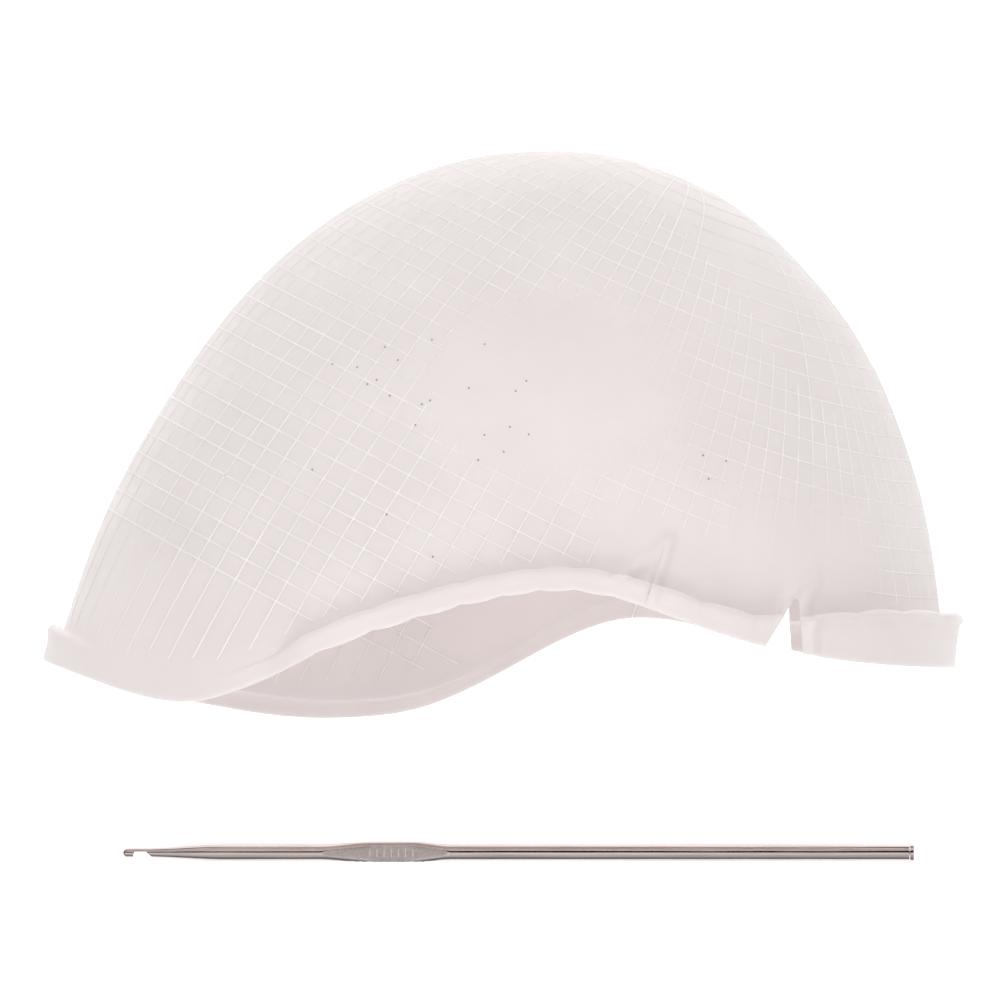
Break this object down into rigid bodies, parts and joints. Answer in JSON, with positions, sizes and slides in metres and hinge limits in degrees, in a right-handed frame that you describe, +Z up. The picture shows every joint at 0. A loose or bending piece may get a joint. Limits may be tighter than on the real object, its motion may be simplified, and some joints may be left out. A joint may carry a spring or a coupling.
{
  "type": "highlighting cap",
  "caption": "Milky silicone hair highlighting cap with ear tabs, lying on its side, and the steel crochet-type hook that pulls strands through it.",
  "frame": {"origin": "middle of the flat that the cap lies on, in line with the crown, on the table", "axes": "+X from the forehead to the nape, +Y from the head opening to the crown, +Z up from the table; the cap lies on its far side"},
  "size_m": [0.2509, 0.1982, 0.1452],
  "materials": {
    "silicone": "translucent milky silicone with a soft satin sheen",
    "steel": "polished nickel-plated steel"
  },
  "bodies": {
    "cap": {"crown_shell": "silicone", "front_band": "silicone", "nape_band": "silicone", "near_slit_lip": "silicone", "near_vee_lip": "silicone", "far_slit_lip": "silicone", "far_vee_lip": "silicone"},
    "near_tab": {"near_ear_tab": "silicone"},
    "far_tab": {"far_ear_tab": "silicone"},
    "hook_body": {"hook": "steel"}
  },
  "joints": [
    {"name": "near_tab_fold", "type": "hinge", "parent": "cap", "child": "near_tab", "pos_m": [0.05175, -0.00245, 0.13184], "axis": [-0.9087, 0.3519, 0.2245], "range_deg": [-8, 110], "stiffness_Nm_per_rad": 0.02},
    {"name": "far_tab_fold", "type": "hinge", "parent": "cap", "child": "far_tab", "pos_m": [0.05175, -0.00245, 0.00661], "axis": [0.8852, -0.3427, 0.3146], "range_deg": [-8, 110], "stiffness_Nm_per_rad": 0.02},
    {"name": "hook_lift", "type": "slide", "parent": "cap", "child": "hook_body", "axis": [0, 0, 1], "range_m": [0, 0.06]}
  ]
}
